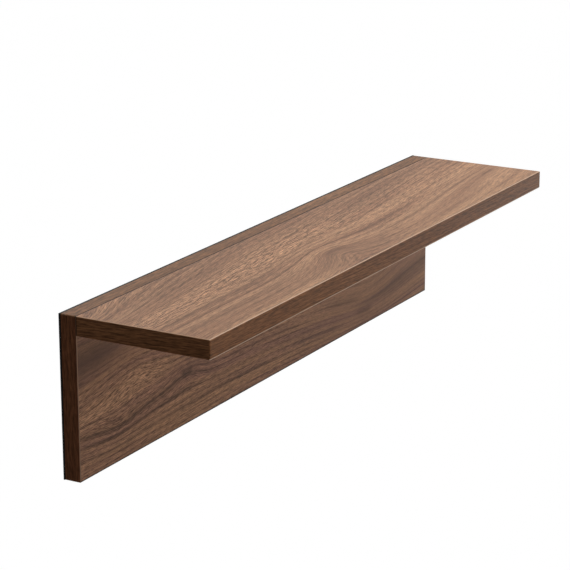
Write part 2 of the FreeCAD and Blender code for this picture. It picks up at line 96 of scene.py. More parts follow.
class WalnutSettings(bpy.types.PropertyGroup):
    """Colours and sizes of the walnut on the boards and their edges."""

    veneer_pale: colour_property("Veneer, pale", "Warm early wood between the growth lines", 173, 133, 102)
    veneer_brown: colour_property("Veneer, brown", "Broad, cooler brown streaks", 144, 106, 81)
    veneer_line: colour_property("Veneer, lines", "Dark growth lines", 105, 75, 58)
    veneer_pore: colour_property("Veneer, pores", "Open pores", 72, 48, 36)
    panel_pale: colour_property("Panel, pale", "Early wood of the panel", 174, 131, 100)
    panel_brown: colour_property("Panel, brown", "Broad streaks of the panel", 151, 111, 92)
    panel_line: colour_property("Panel, lines", "Dark growth lines of the panel", 78, 57, 46)
    panel_gold: colour_property("Panel, gold", "Thin golden veins of the panel", 192, 147, 114)
    band_pale: colour_property("Bands, pale", "Paler wood of the edge bands", 140, 96, 64)
    band_brown: colour_property("Bands, brown", "Brown streaks of the edge bands", 128, 86, 57)
    band_line: colour_property("Bands, lines", "Dark lines of the edge bands", 102, 67, 45)
    band_pore: colour_property("Bands, pores", "Pores of the edge bands", 55, 35, 26)
    # The panel ends' colours are a darker copy of the bands' colours: painted shade.
    shaded_end_pale: colour_property("Panel ends, pale", "Paler wood of the panel's ends", 125, 80, 54)
    shaded_end_brown: colour_property("Panel ends, brown", "Brown streaks of the panel's ends", 114, 71, 48)
    shaded_end_line: colour_property("Panel ends, lines", "Dark lines of the panel's ends", 88, 53, 36)
    strip_pale: colour_property("Top band, pale", "Paler wood of the panel's top band", 126, 91, 64)
    strip_brown: colour_property("Top band, brown", "Brown streaks of the panel's top band", 110, 78, 54)
    # Dark joint lines, partly painted shade, and the painted shade lines along edges that turn from the
    # light.
    seam: colour_property("Seams", "Glue line where two boards meet", 42, 30, 25)
    glue: colour_property("Backing glue", "Glue line between the bands and the backing sheet", 12, 11, 11)
    # Painted highlight along the bands' edges, standing in for the light that a rounded arris catches.
    arris_highlight: colour_property("Arrises", "Lacquer rubbed thin along an edge", 226, 194, 168)
    streak_width: length_property("Streak width", "Width of a broad streak", 0.014)
    streak_length: length_property("Streak length", "Length of a broad streak", 0.35)
    ring_spacing: length_property("Ring spacing", "From one sharp growth ring to the next", 0.0075)
    line_width: length_property("Line width", "Spacing of the softer growth lines", 0.0040)
    line_length: length_property("Line length", "How far a softer line runs", 0.12)
    fleck_width: length_property("Fleck width", "Width of the short flecks", 0.0020)
    fleck_length: length_property("Fleck length", "Length of the short flecks", 0.055)
    fibre_width: length_property("Fibre width", "Width of the fine fibres", 0.0016)
    fibre_length: length_property("Fibre length", "Length of the fine fibres", 0.008)
    pore_width: length_property("Pore width", "Width of a pore", 0.0015)
    pore_length: length_property("Pore length", "Length of a pore", 0.010)
    wander: length_property("Wander", "How far the grain wanders sideways", 0.004)
    # Half width of the dark joint lines and of the painted shade lines.
    dark_line_width: length_property("Seam width", "Half the width of the dark line at a seam", 0.0008)
    # Width and strength of the painted highlights along the arrises.
    arris_highlight_width: length_property("Arris width", "How far a rubbed arris reaches in from its edge", 0.0005)
    arris_highlight_share: share_property("Edge wear", "How pale the most rubbed arris is", 0.75)
    shelf_gloss: share_property("Shelf gloss", "How strongly the lacquer on the shelf reflects", 0.07)
    panel_gloss: share_property("Panel gloss", "How strongly the lacquer on the panel reflects", 0.045)
    end_gloss: share_property("End gloss", "How strongly the lacquer on the ends reflects", 0.01)


class FittingSettings(bpy.types.PropertyGroup):
    """Colours and sizes of the cores, the backing sheet and the hanging fittings."""

    chip_pale: colour_property("Chips, pale", "Pale chips of the particle board", 222, 197, 158)
    chip_brown: colour_property("Chips, brown", "Brown chips of the particle board", 158, 121, 82)
    chip_bark: colour_property("Chips, bark", "Dark specks of bark in the particle board", 92, 66, 45)
    chip_length: length_property("Chip length", "Length of a chip", 0.0042)
    chip_width: length_property("Chip width", "Width of a chip", 0.0011)
    backer: colour_property("Backing sheet", "Black of the backing sheet", 11, 11, 12)
    # Grey of the scuffs, and of the painted highlight along the sheet's edges.
    backer_scuff_and_highlight: colour_property("Backing sheet, scuffs", "Grey of the rubbed places", 42, 41, 40)
    beech_pale: colour_property("Beech, pale", "Pale wood of the dowels", 226, 196, 158)
    beech_brown: colour_property("Beech, brown", "Short flecks of the dowels", 186, 142, 104)
    zinc_bright: colour_property("Zinc, bright", "Bright zinc plate of the screws", 168, 173, 181)
    zinc_dull: colour_property("Zinc, dull", "Dull patches of the zinc plate", 122, 127, 135)
    # Painted shade inside the screws' sockets.
    socket_shade: colour_property("Socket oil", "Dark oil left in the sockets of the screws", 34, 33, 33)
    joint_pitch: length_property("Joint screw pitch", "From one turn of the thread to the next", 0.0030)
    joint_core: length_property("Joint screw core", "Radius at the root of the thread", 0.0024)
    clip_pitch: length_property("Clip screw pitch", "From one turn of the thread to the next", 0.0014)
    clip_core: length_property("Clip screw core", "Radius at the root of the thread", 0.0011)
    # The bright colour is also used for the painted highlight along the edges.
    aluminium_bright: colour_property("Aluminium, bright", "Bright draw lines", 186, 187, 189)
    aluminium_dull: colour_property("Aluminium, dull", "Dull draw lines", 128, 130, 133)
    draw_line: length_property("Draw line", "Width of a draw line on the rail and clips", 0.0006)


class StageSettings(bpy.types.PropertyGroup):
    """The camera, the lamps and the floor."""

    camera_place: bpy.props.FloatVectorProperty(
        name="Camera",
        description="Where the camera stands",
        default=(-1.6717, -0.9877, 0.585),
        subtype="XYZ",
    )
    camera_turn: angle_property("Turn", "Camera's turn to the left", -60.13)
    camera_rise: angle_property("Rise", "How far the camera looks down", 16.53)
    camera_roll: angle_property("Roll", "Camera's tilt to one side", -0.17)
    lens: number_property("Lens", "Focal length", 145.44, unit="CAMERA")
    floor_drop: length_property("Floor drop", "How far the floor lies below the rail's holes", 3.0)
    floor_reach: length_property("Floor reach", "How far the floor reaches", 60.0)
    sky: share_property("Sky", "Even light from all round", 0.08)
    overhead: number_property("Overhead", "Irradiance of the lamp overhead", 2.0, min=0.0)
    key: power_property("Key", "Lamp above the right end", 5.0)
    fill: power_property("Fill", "Low lamp in front", 8.9)
    side: power_property("Side", "Low lamp past the right end", 1.2)
    rear: power_property("Rear", "Lamp behind the shelf", 20.0)


ALONG_X, ALONG_Y, ALONG_Z = (1, 0, 0), (0, 1, 0), (0, 0, 1)
TOWARDS_FRONT, DOWN = (0, -1, 0), (0, 0, -1)

# A noise's detail and roughness. A speckle also has how often it repeats in a metre along each place, and
# a seed that stands in for a third place.
Noise = collections.namedtuple("Noise", "detail roughness")
Speckle = collections.namedtuple("Speckle", "repeats detail roughness seed", defaults=(0.0,))
NOISE_MIDDLE = 0.5
# A finish's least roughness and how far it varies, the depth of its relief in metres, its gloss, and 1 where
# it is metal.
Surface = collections.namedtuple("Surface", "roughness spread relief gloss metallic", defaults=(0.5, 0.0))
# Where a node that mixes colours has its sockets: the share and the colours under and over, and the mix.
MIX_INPUTS = (0, 6, 7)
MIX_OUTPUT = 2


class Field:
    """A number, place or colour that varies over a surface, as one shader socket gives it."""

    def __init__(self, graph, socket):
        self.graph = graph
        self.socket = socket

    def __add__(self, other):
        return self.graph.math("ADD", self, other)

    def __sub__(self, other):
        return self.graph.math("SUBTRACT", self, other)

    def __mul__(self, other):
        return self.graph.math("MULTIPLY", self, other)

    def least(self, other):
        return self.graph.math("MINIMUM", self, other)

    def most(self, other):
        return self.graph.math("MAXIMUM", self, other)

    def exponential(self):
        return self.graph.math("EXPONENT", self)

    def about_one(self, share):
        """Varies by a share round 1, where the field itself varies from 0 to 1."""
        return self * share + (1 - share * NOISE_MIDDLE)

    def fade(self, start, end):
        """Rises smoothly from 0 at start to 1 at end, or falls where end is below start."""
        node = self.graph.add("ShaderNodeMapRange", interpolation_type="SMOOTHSTEP")
        self.graph.put(node.inputs["Value"], self)
        limits = {
            "From Min": min(start, end),
            "From Max": max(start, end),
            "To Min": 0.0 if start < end else 1.0,
            "To Max": 1.0 if start < end else 0.0,
        }
        for socket_name, value in limits.items():
            node.inputs[socket_name].default_value = value
        return Field(self.graph, node.outputs["Result"])


class Graph:
    """The shader nodes of one material."""

    def __init__(self, name):
        self.material = bpy.data.materials.new(name)
        self.material.use_nodes = True
        self.tree = self.material.node_tree
        self.tree.nodes.clear()

    def add(self, kind, **settings):
        node = self.tree.nodes.new(kind)
        for setting, value in settings.items():
            setattr(node, setting, value)
        return node

    def put(self, socket, value):
        """Links a field to a socket, or sets the socket to a plain value."""
        if isinstance(value, Field):
            self.tree.links.new(value.socket, socket)
        else:
            socket.default_value = value

    def math(self, operation, *values):
        node = self.add("ShaderNodeMath", operation=operation)
        for socket, value in zip(node.inputs, values):
            self.put(socket, value)
        return Field(self, node.outputs["Value"])

    def along(self, direction):
        """How far a point of the piece lies along a direction, in the shelf's own frame."""
        place = self.add("ShaderNodeTexCoord")
        node = self.add("ShaderNodeVectorMath", operation="DOT_PRODUCT")
        self.tree.links.new(place.outputs["Object"], node.inputs[0])
        self.put(node.inputs[1], direction)
        return Field(self, node.outputs["Value"])

    def axes(self):
        """How far a point lies along x, y and z."""
        return [self.along(direction) for direction in (ALONG_X, ALONG_Y, ALONG_Z)]

    def vector(self, x, y, z):
        node = self.add("ShaderNodeCombineXYZ")
        for socket, value in zip(node.inputs, (x, y, z)):
            self.put(socket, value)
        return Field(self, node.outputs["Vector"])

    def noise(self, place, kind):
        node = self.add("ShaderNodeTexNoise")
        self.put(node.inputs["Vector"], place)
        settings = {"Scale": 1.0, "Detail": kind.detail, "Roughness": kind.roughness, "Distortion": 0.0}
        for socket_name, value in settings.items():
            node.inputs[socket_name].default_value = value
        return Field(self, node.outputs[0])

    def speckle(self, kind, *places):
        """Noise that repeats along two or three places."""
        steps = [place * repeats for place, repeats in zip(places, kind.repeats)]
        x, y, z = (*steps, kind.seed)[:3]
        return self.noise(self.vector(x, y, z), kind)

    def mix(self, share, under, over):
        """One colour over another by a share."""
        node = self.add("ShaderNodeMix", data_type="RGBA")
        share_socket, under_socket, over_socket = (node.inputs[place] for place in MIX_INPUTS)
        self.put(share_socket, share)
        for socket, colour in ((under_socket, under), (over_socket, over)):
            self.put(socket, colour if isinstance(colour, Field) else (*colour, 1.0))
        return Field(self, node.outputs[MIX_OUTPUT])

    def shade(self, colour, value):
        """A colour times a number."""
        node = self.add("ShaderNodeVectorMath", operation="SCALE")
        self.put(node.inputs[0], colour)
        self.put(node.inputs["Scale"], value)
        return Field(self, node.outputs["Vector"])

    def finish(self, colour, surface, unevenness, relief):
        """Ends the graph in a surface with a colour, an uneven roughness and a fine relief."""
        bump = self.add("ShaderNodeBump")
        bump.inputs["Distance"].default_value = surface.relief
        self.put(bump.inputs["Height"], relief)
        shader = self.add("ShaderNodeBsdfPrincipled")
        self.put(shader.inputs["Base Color"], colour)
        self.put(shader.inputs["Roughness"], unevenness * surface.spread + surface.roughness)
        self.tree.links.new(bump.outputs["Normal"], shader.inputs["Normal"])
        shader.inputs["Metallic"].default_value = surface.metallic
        shader.inputs["Specular IOR Level"].default_value = surface.gloss
        end = self.add("ShaderNodeOutputMaterial")
        self.tree.links.new(shader.outputs["BSDF"], end.inputs["Surface"])
        return self.material


# A mask for painted highlights along a piece's edges.
def edge_highlight_mask(graph, node_name, width):
    """1 along the edges of a box-shaped piece, and 0 from a width in from them."""
    low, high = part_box(node_name)
    gaps = []
    for place, start, end in zip(graph.axes(), low, high):
        gaps.append((place - start).least(graph.math("SUBTRACT", end, place)))
    first, second, third = gaps
    middle_gap = first.least(second).most(first.most(second).least(third))
    return middle_gap.fade(width, 0.0)


# A figure's middle along and across the grain, how far it reaches, and how far lines bend round it.
Figure = collections.namedtuple("Figure", "along across length width rise")
# A point that a vein passes, its start and end along the grain, its width and how strongly it shows.
Vein = collections.namedtuple("Vein", "along across start end width share")
# The directions along and across the grain, how far it leans, the scale of all its layers, the contrast,
# length and fineness of its short streaks, how strongly its rings show, and how sharp they are.
Grain = collections.namedtuple(
    "Grain",
    "along across lean scale contrast stretch fineness ring_share ring_edge "
    "seed figures dark_veins pale_veins busy_veins quiet_veins",
    defaults=(0.0, (), (), (), (), ()),
)
Tones = collections.namedtuple("Tones", "pale brown line pore gold gloss")
# A line at one place along a direction, half its width, its colour and how strongly it shows.
Edge = collections.namedtuple("Edge", "direction place width colour share")

# Across a band's face, with a little of the depth behind it, so that the grain also varies round an arris.
ACROSS_LONG_BAND = (0, -0.6, 1)
ACROSS_SHELF_END = (0.6, 0, 1)
ACROSS_PANEL_END = (0.6, -1, 0)

# The tables below have one figure or vein to a row, with its values in the order of the names above.

# Where the grain of the shelf's top bends, in metres along the shelf and in front of the wall.
TOP_FIGURES = (
    (-0.300, 0.031, 0.200, 0.040, -0.016),
    (-0.340, 0.038, 0.090, 0.032, -0.018),
    (0.300, 0.041, 0.180, 0.040, 0.014),
    (0.300, 0.100, 0.130, 0.020, 0.012),
    (-0.300, 0.111, 0.150, 0.035, 0.010),
    (-0.047, 0.103, 0.060, 0.034, 0.015),
    (-0.046, 0.101, 0.024, 0.016, 0.008),
)
TOP_DARK_VEINS = (
    (-0.150, 0.098, -0.320, 0.160, 0.0015, 0.60),
    (0.050, 0.089, -0.020, 0.190, 0.0024, 0.35),
    (-0.200, 0.0885, -0.480, -0.040, 0.0048, 0.68),
    (-0.200, 0.1100, -0.360, -0.080, 0.0032, 0.50),
    (-0.258, 0.0285, -0.330, -0.215, 0.0013, 0.45),
    (-0.213, 0.0368, -0.300, -0.130, 0.0016, 0.55),
    (-0.167, 0.0377, -0.275, -0.070, 0.0015, 0.42),
    (-0.190, 0.0265, -0.290, -0.120, 0.0016, 0.45),
    (-0.230, 0.0260, -0.420, -0.040, 0.0120, 0.20),
    (-0.150, 0.0290, -0.260, -0.020, 0.0050, 0.32),
    (0.080, 0.104, 0.010, 0.300, 0.0020, 0.60),
    (0.275, 0.094, 0.252, 0.292, 0.0018, 0.75),
    (-0.042, 0.099, -0.070, -0.014, 0.0034, 0.75),
    (-0.030, 0.044, -0.080, 0.020, 0.0016, 0.40),
    (0.100, 0.064, 0.030, 0.140, 0.0015, 0.40),
    (0.000, 0.022, -0.450, 0.330, 0.0190, 0.30),
    (-0.200, 0.116, -0.440, 0.000, 0.0180, 0.12),
    (0.180, 0.032, -0.020, 0.400, 0.0140, 0.50),
    (-0.060, 0.112, -0.130, 0.060, 0.0100, 0.35),
)
TOP_PALE_VEINS = (
    (-0.150, 0.0400, -0.320, 0.020, 0.0048, 0.42),
    (-0.235, 0.0434, -0.300, -0.120, 0.0012, 0.50),
    (-0.220, 0.0950, -0.340, -0.130, 0.0010, 0.55),
    (-0.220, 0.1035, -0.340, -0.110, 0.0025, 0.35),
    (-0.040, 0.077, -0.120, 0.140, 0.0035, 0.55),
    (-0.120, 0.048, -0.210, -0.030, 0.0030, 0.40),
    (0.130, 0.068, 0.060, 0.220, 0.0050, 0.40),
)
TOP_BUSY_VEINS = (
    (-0.120, 0.064, -0.520, 0.140, 0.0165, 1.00),
    (0.150, 0.060, -0.050, 0.350, 0.0200, 0.10),
)
TOP_QUIET_VEINS = (
    (0.180, 0.112, -0.020, 0.480, 0.0220, 0.50),
    (-0.200, 0.122, -0.440, 0.000, 0.0160, 0.30),
    (-0.045, 0.106, -0.120, 0.040, 0.0120, 0.30),
)

# Where the grain of the panel's front bends, in metres along the shelf and below the rail's holes.
PANEL_FIGURES = (
    (-0.220, 0.000, 0.055, 0.022, 0.009),
    (-0.245, 0.044, 0.036, 0.016, -0.0055),
    (-0.143, 0.028, 0.030, 0.013, 0.007),
    (0.190, 0.044, 0.160, 0.038, -0.015),
    (0.180, 0.042, 0.060, 0.030, -0.006),
)
PANEL_DARK_VEINS_AND_SHADE = (
    (-0.300, 0.0376, -0.360, -0.090, 0.0014, 0.80),
    # This row is partly painted shade and partly darker grain: the dark patch in the panel's top left corner
    # under the shelf.
    (-0.285, -0.026, -0.480, -0.190, 0.0185, 0.78),
    (-0.143, 0.027, -0.154, -0.132, 0.0040, 0.60),
    (-0.220, 0.047, -0.360, -0.100, 0.0014, 0.60),
    (-0.150, 0.055, -0.360, 0.040, 0.0015, 0.55),
    (0.070, 0.056, 0.020, 0.140, 0.0020, 0.55),
    (0.130, 0.040, 0.090, 0.170, 0.0020, 0.45),
    (0.170, 0.057, 0.150, 0.190, 0.0050, 0.40),
    (0.240, 0.046, 0.130, 0.400, 0.0045, 0.50),
    (0.240, 0.052, 0.200, 0.310, 0.0016, 0.40),
)
PANEL_PALE_VEINS = (
    (-0.240, 0.014, -0.420, -0.120, 0.0130, 0.15),
    (-0.250, 0.020, -0.420, -0.140, 0.0012, 0.60),
    (-0.250, 0.016, -0.330, -0.120, 0.0010, 0.50),
    (-0.250, 0.024, -0.420, -0.180, 0.0010, 0.55),
    (-0.210, 0.010, -0.280, -0.130, 0.0010, 0.50),
    (-0.200, 0.004, -0.250, -0.130, 0.0012, 0.40),
    (-0.280, 0.030, -0.420, -0.230, 0.0010, 0.45),
    (-0.250, 0.058, -0.320, -0.170, 0.0025, 0.35),
)
PANEL_BUSY_VEINS = (
    (-0.260, 0.018, -0.420, -0.120, 0.0180, 0.40),
    (-0.200, 0.056, -0.500, 0.200, 0.0200, 0.15),
)
PANEL_QUIET_VEINS = (
    # This row calms the grain under the painted shade in the panel's top left corner.
    (-0.285, -0.025, -0.480, -0.150, 0.0180, 0.65),
    (0.200, 0.040, 0.000, 0.500, 0.0500, 0.60),
)


def named(kind, rows):
    """The rows of a table, with a name for each value."""
    return tuple(kind(*row) for row in rows)


TOP_GRAIN = Grain(
    along=ALONG_X,
    across=TOWARDS_FRONT,
    lean=0.05,
    seed=1.0,
    scale=1.0,
    contrast=1.25,
    stretch=1.35,
    fineness=0.55,
    ring_share=0.7,
    ring_edge=0.1,
    figures=named(Figure, TOP_FIGURES),
    dark_veins=named(Vein, TOP_DARK_VEINS),
    pale_veins=named(Vein, TOP_PALE_VEINS),
    busy_veins=named(Vein, TOP_BUSY_VEINS),
    quiet_veins=named(Vein, TOP_QUIET_VEINS),
)
UNDERSIDE_GRAIN = TOP_GRAIN._replace(seed=6.0, dark_veins=(), pale_veins=(), busy_veins=())
PANEL_GRAIN = Grain(
    along=ALONG_X,
    across=DOWN,
    lean=0.01,
    seed=11.0,
    scale=0.75,
    contrast=1.15,
    stretch=1.3,
    fineness=0.55,
    ring_share=0.7,
    ring_edge=-0.2,
    figures=named(Figure, PANEL_FIGURES),
    dark_veins=named(Vein, PANEL_DARK_VEINS_AND_SHADE),
    pale_veins=named(Vein, PANEL_PALE_VEINS),
    busy_veins=named(Vein, PANEL_BUSY_VEINS),
    quiet_veins=named(Vein, PANEL_QUIET_VEINS),
)
BAND_GRAIN = Grain(
    along=ALONG_X,
    across=ACROSS_LONG_BAND,
    lean=0.01,
    scale=0.7,
    contrast=1.1,
    stretch=2.0,
    fineness=1.0,
    ring_share=0.45,
    ring_edge=0.4,
)

# The seed of each band's noise.
BAND_SEEDS = {
    "shelf_front_edge_band": 15.0,
    "panel_top_edge_band": 18.0,
    "panel_bottom_edge_band": 21.0,
    "shelf_left_edge_band": 24.0,
    "panel_left_edge_band": 24.0,
    "shelf_right_edge_band": 27.0,
    "panel_right_edge_band": 27.0,
}

# The layers of the grain, from the coarsest to the finest.
DRIFT_NOISE = Noise(detail=2.0, roughness=0.5)
STREAK_NOISE = Noise(detail=3.0, roughness=0.55)
LINE_NOISE = Noise(detail=3.0, roughness=0.6)
FLECK_NOISE = Noise(detail=3.0, roughness=0.7)
FIBRE_NOISE = Noise(detail=2.0, roughness=0.7)
PORE_NOISE = Noise(detail=1.0, roughness=0.5)
# The values of each layer's noise between which the layer comes in.
STREAK_RISE = (0.30, 0.70)
LINE_RISE = (0.50, 0.74)
RING_LINE_RISE = (0.20, 0.70)
FLECK_RISE = (0.25, 0.75)
FIBRE_RISE = (0.28, 0.72)
PORE_RISE = (0.52, 0.70)
# How strongly each layer shows.
LINE_SHARE = 0.3
FLECK_SHARE = 0.55
FIBRE_SHARE = 0.85
PORE_SHARE = 0.08
# What a busy zone adds in pores, in pale wood and in contrast.
BUSY_PORE_SHARE = 0.30
BUSY_PALE_SHARE = 0.4
BUSY_CONTRAST = 1.6
# How much of a colour the darkest flecks and fibres leave.
DARKEST_SHARE = 0.3
# How far flecks break up a vein, and how much of its run a vein takes to come in.
VEIN_BREAK_SHARE = 0.6
VEIN_TAPER_SHARE = 0.3
# How wide the grain's slow drift is, in broad streaks, and how far these shift the rings, in radians.
DRIFT_WIDTH_IN_STREAKS = 5
RING_UNEVENNESS = 9.0
# How far each row of short streaks starts from the row before it, so that they don't stand in columns.
ROW_STAGGER_SHARE = 0.37
FIBRE_RELIEF_SHARE = 0.3
LACQUERED_WALNUT = Surface(roughness=0.36, spread=0.16, relief=0.00012)


def bent(along, across, grain, exponential):
    """Which line of the grain passes a point, once the lines have bent round the figures."""
    sideways = across + along * grain.lean
    for figure in grain.figures:
        lengthwise = (along - figure.along) * (1 / figure.length)
        crosswise = (across - figure.across) * (1 / figure.width)
        nearness = exponential((lengthwise * lengthwise + crosswise * crosswise) * -1.0)
        sideways = sideways + nearness * figure.rise
    return sideways


def vein_share(vein, along, sideways, grain):
    """How strongly a vein shows: most on its own line of the grain, and fading out at its two ends."""
    level = bent(vein.along, vein.across, grain, math.exp)
    offset = (sideways - level) * (1 / vein.width)
    taper = (vein.end - vein.start) * VEIN_TAPER_SHARE
    ends = along.fade(vein.start, vein.start + taper) * along.fade(vein.end, vein.end - taper)
    return (offset * offset * -1.0).exponential() * ends * vein.share


def walnut(name, settings, tones, grain, edges):
    """Walnut whose streaks, rings, veins, flecks and pores run along the grain and bend with it."""
    graph = Graph(name)
    along, across = graph.along(grain.along), graph.along(grain.across)

    def streaks(length, width, kind, sideways, stagger_share=0.0):
        row = sideways * (1 / (width * grain.scale))
        step = along * (1 / (length * grain.scale))
        if stagger_share:
            step = step + row * stagger_share
        return graph.noise(graph.vector(step, row, grain.seed), kind)

    def short_streaks(length, width, kind):
        size = (length * grain.stretch, width * grain.fineness)
        return streaks(*size, kind, sideways, ROW_STAGGER_SHARE)

    def total_share(veins):
        total = 0.0
        for vein in veins:
            total = vein_share(vein, along, sideways, grain) + total
        return total

    drift_width = settings.streak_width * DRIFT_WIDTH_IN_STREAKS
    drift = streaks(settings.streak_length, drift_width, DRIFT_NOISE, across)
    lines_bent = bent(along, across, grain, Field.exponential)
    sideways = lines_bent + (drift - NOISE_MIDDLE) * (2 * settings.wander)
    broad = streaks(settings.streak_length, settings.streak_width, STREAK_NOISE, sideways)
    lines = streaks(settings.line_length, settings.line_width, LINE_NOISE, sideways)
    flecks = short_streaks(settings.fleck_length, settings.fleck_width, FLECK_NOISE)
    fibres = short_streaks(settings.fibre_length, settings.fibre_width, FIBRE_NOISE)
    pores = short_streaks(settings.pore_length, settings.pore_width, PORE_NOISE)
    busy, quiet = total_share(grain.busy_veins), total_share(grain.quiet_veins)
    liveliness = quiet * -1.0 + 1.0

    phase = sideways * (math.tau / (settings.ring_spacing * grain.scale)) + broad * RING_UNEVENNESS
    rings = graph.math("SINE", phase).fade(grain.ring_edge, 1.0) * lines.fade(*RING_LINE_RISE)
    pitting = pores.fade(*PORE_RISE) * (busy * BUSY_PORE_SHARE + PORE_SHARE)
    fine = flecks.fade(*FLECK_RISE) * FLECK_SHARE + fibres.fade(*FIBRE_RISE) * FIBRE_SHARE
    fine = fine - (FLECK_SHARE + FIBRE_SHARE) * NOISE_MIDDLE
    contrast = fine * (busy * BUSY_CONTRAST + grain.contrast) * liveliness
    vein_breaks = flecks.about_one(VEIN_BREAK_SHARE)

    colour = graph.mix(broad.fade(*STREAK_RISE), tones.pale, tones.brown)
    colour = graph.mix(lines.fade(*LINE_RISE) * liveliness * LINE_SHARE, colour, tones.line)
    colour = graph.mix(rings * liveliness * grain.ring_share, colour, tones.line)
    if grain.busy_veins:
        colour = graph.mix(busy * BUSY_PALE_SHARE, colour, tones.pale)
    # The panel's dark veins include a painted shade in its corner under the shelf.
    for veins, tone in ((grain.pale_veins, tones.gold), (grain.dark_veins, tones.line)):
        for vein in veins:
            colour = graph.mix(vein_share(vein, along, sideways, grain) * vein_breaks, colour, tone)
    colour = graph.mix(pitting, colour, tones.pore)
    colour = graph.shade(colour, (contrast + 1.0).most(DARKEST_SHARE))
    # Lines along the edges: dark joints and glue lines, painted shade and painted highlights.
    for edge in edges:
        gap = graph.math("ABSOLUTE", graph.along(edge.direction) - edge.place)
        colour = graph.mix(gap.fade(edge.width, edge.width / 2) * edge.share, colour, edge.colour)
    surface = LACQUERED_WALNUT._replace(gloss=tones.gloss)
    return graph.finish(colour, surface, fibres, fibres * FIBRE_RELIEF_SHARE - pitting)


WOBBLE_NOISE = Noise(detail=3.0, roughness=0.6)
CHIP_NOISE = Noise(detail=2.0, roughness=0.6)
CHIP_WOBBLE = 1.5
CHIP_RISE = (0.45, 0.75)
BARK_FALL = (0.36, 0.30)
BARK_SHARE = 0.7
DUST_FINENESS = 4
DUST_SHARE = 0.4
DUST_RELIEF_SHARE = 0.5
RAW_PARTICLE_BOARD = Surface(roughness=0.78, spread=0.15, relief=0.0003, gloss=0.2)


def particle_board(name, settings):
    """Pressed wood chips of many browns that lie this way and that, with dust and bark among them."""
    graph = Graph(name)
    x, y, z = graph.axes()
    long, wide = 1 / settings.chip_length, 1 / settings.chip_width
    fine = DUST_FINENESS * wide

    def chips(*place):
        return graph.noise(graph.vector(*place), CHIP_NOISE)

    wobble = graph.noise(graph.vector(x * long, y * wide, z * wide), WOBBLE_NOISE) * CHIP_WOBBLE
    lengthways = chips(x * long + wobble, y * wide, z * wide)
    crossways = chips(x * wide, y * wide, z * long + wobble)
    slanting = chips((x + z) * wide, y * wide, (x - z) * long + wobble)
    dust = chips(x * fine, y * fine, z * fine)
    pressed = lengthways.most(crossways).most(slanting)
    colour = graph.mix(pressed.fade(*CHIP_RISE), settings.chip_brown, settings.chip_pale)
    colour = graph.mix(lengthways.fade(*BARK_FALL) * BARK_SHARE, colour, settings.chip_bark)
    colour = graph.shade(colour, dust.about_one(DUST_SHARE))
    return graph.finish(colour, RAW_PARTICLE_BOARD, dust, pressed + dust * DUST_RELIEF_SHARE)


PAPER_GRAIN = Speckle(repeats=(700.0, 900.0), detail=3.0, roughness=0.6)
PAPER_CLOUD = Speckle(repeats=(14.0, 20.0), detail=3.0, roughness=0.55, seed=4.0)
PAPER_SCUFFS = Speckle(repeats=(60.0, 420.0), detail=2.0, roughness=0.5, seed=9.0)
CLOUD_SHARE = 0.25
SCUFF_RISE = (0.64, 0.78)
SCUFF_SHARE = 0.3
# The painted highlight along the sheet's edges.
PAPER_HIGHLIGHT_WIDTH = 0.0009
PAPER_HIGHLIGHT_RISE = (0.45, 0.75)
PAPER_HIGHLIGHT_SHARE = 0.2
MATT_PAPER = Surface(roughness=0.55, spread=0.2, relief=0.00006, gloss=0.1)


def backing_sheet(name, node_name, settings):
    """A matt black sheet with a faint paper grain and grey scuffs, and a painted grey highlight along its
    edges.
    """
    graph = Graph(name)
    x, z = graph.along(ALONG_X), graph.along(ALONG_Z)
    paper = graph.speckle(PAPER_GRAIN, x, z)
    cloud = graph.speckle(PAPER_CLOUD, x, z)
    scuffs = graph.speckle(PAPER_SCUFFS, x, z).fade(*SCUFF_RISE)
    edge_highlight = edge_highlight_mask(graph, node_name, PAPER_HIGHLIGHT_WIDTH) * cloud.fade(*PAPER_HIGHLIGHT_RISE)
    worn = cloud * CLOUD_SHARE + scuffs * SCUFF_SHARE
    colour = graph.mix(worn, settings.backer, settings.backer_scuff_and_highlight)
    colour = graph.mix(edge_highlight * PAPER_HIGHLIGHT_SHARE, colour, settings.backer_scuff_and_highlight)
    return graph.finish(colour, MATT_PAPER, paper, paper)


BEECH_FIBRES = Speckle(repeats=(900.0, 60.0, 900.0), detail=2.0, roughness=0.5)
BEECH_FLECKS = Speckle(repeats=(1500.0, 500.0, 1500.0), detail=1.0, roughness=0.5)
BEECH_FLECK_RISE = (0.58, 0.68)
BEECH_FLECK_SHARE = 0.7
BEECH_FIBRE_SHARE = 0.3
RAW_BEECH = Surface(roughness=0.6, spread=0.15, relief=0.0001, gloss=0.3)


def beech(name, settings):
    """Pale beech with the short flecks that show along its grain."""
    graph = Graph(name)
    places = graph.axes()
    fibres = graph.speckle(BEECH_FIBRES, *places)
    flecks = graph.speckle(BEECH_FLECKS, *places).fade(*BEECH_FLECK_RISE)
    colour = graph.mix(flecks * BEECH_FLECK_SHARE, settings.beech_pale, settings.beech_brown)
    colour = graph.shade(colour, fibres.about_one(BEECH_FIBRE_SHARE))
    return graph.finish(colour, RAW_BEECH, fibres, fibres)


ZINC_MOTTLE = Speckle(repeats=(450.0, 450.0, 450.0), detail=3.0, roughness=0.6)
ZINC_MOTTLE_RISE = (0.35, 0.7)
TURNING_MARKS = Speckle(repeats=(0.0, 5200.0, 0.0), detail=1.0, roughness=0.5)
# A broken painted shade inside the sockets.
SOCKET_SHADE_MOTTLE = Speckle(repeats=(900.0, 900.0, 900.0), detail=3.0, roughness=0.6)
SOCKET_SHADE_RISE = (0.45, 0.85)
PLATED_ZINC = Surface(roughness=0.25, spread=0.22, relief=0.00003, metallic=1.0)
SHADED_SOCKET_ZINC = Surface(roughness=0.2, spread=0.2, relief=0.00003, metallic=1.0)


